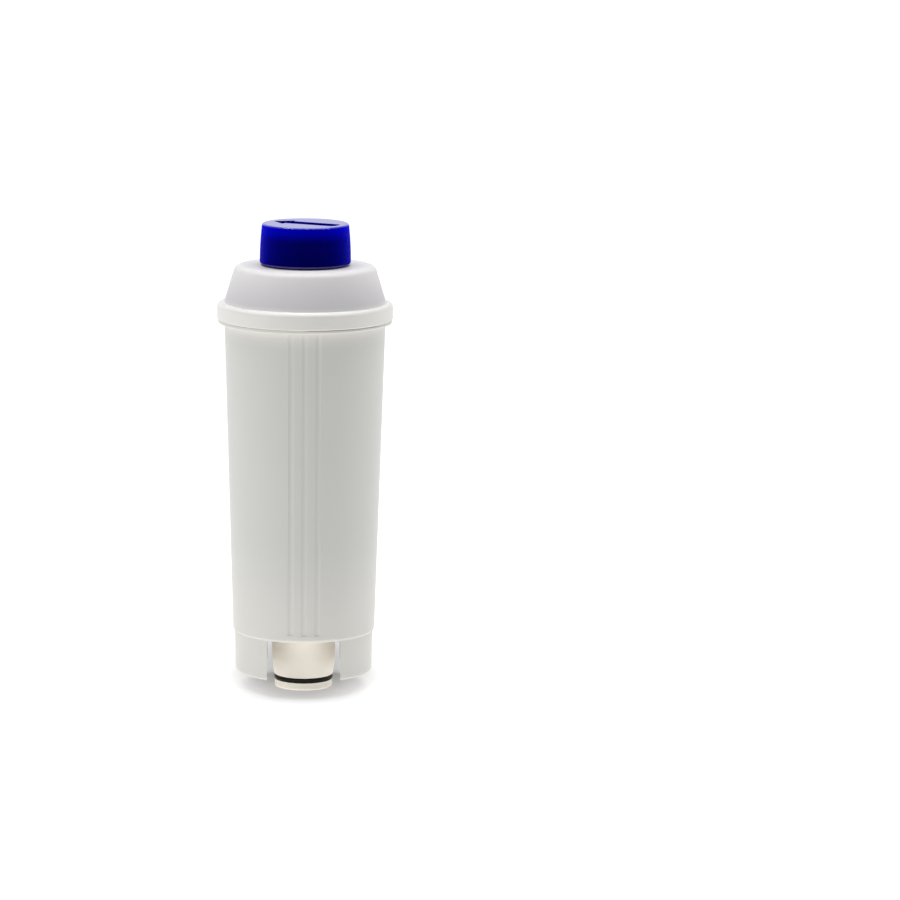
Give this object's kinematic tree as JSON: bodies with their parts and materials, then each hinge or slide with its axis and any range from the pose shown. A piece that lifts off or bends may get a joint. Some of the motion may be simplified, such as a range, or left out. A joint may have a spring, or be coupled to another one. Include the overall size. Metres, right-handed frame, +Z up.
{
  "type": "water filter cartridge",
  "caption": "Slim tapered water filter cartridge with a skirted outlet spigot and seal ring at its foot, a stepped shoulder cover and a turning date knob on top.",
  "frame": {"origin": "centre of the spigot's tip face, the lowest point of the cartridge", "axes": "+Z up along the cartridge's axis towards the date knob, -Y is the front, where the skirt is open"},
  "size_m": [0.0485, 0.0484, 0.1296],
  "materials": {
    "white_plastic": "satin",
    "blue_plastic": "gloss",
    "cream_plastic": "satin",
    "natural_plastic": "satin",
    "black_rubber": "satin",
    "grey_seal": "matte",
    "felt": "matte",
    "resin": "satin",
    "carbon": "matte"
  },
  "bodies": {
    "cartridge": {"housing": "white_plastic", "shoulder_cover": "white_plastic", "cover_seal": "grey_seal", "outlet_connector": "cream_plastic", "outlet_seal_ring": "black_rubber", "connector_gasket": "grey_seal", "riser_tube": "natural_plastic", "riser_strainer": "natural_plastic", "inlet_screen": "natural_plastic", "lower_fleece": "felt", "resin_bed": "resin", "middle_fleece": "felt", "carbon_bed": "carbon", "upper_fleece": "felt", "hold_down_plate": "natural_plastic"},
    "knob": {"date_knob": "blue_plastic"}
  },
  "joints": [
    {"name": "knob_turn", "type": "hinge", "parent": "cartridge", "child": "knob", "pos_m": [0, 0, 0.12], "axis": [0, 0, 1], "continuous": true}
  ]
}
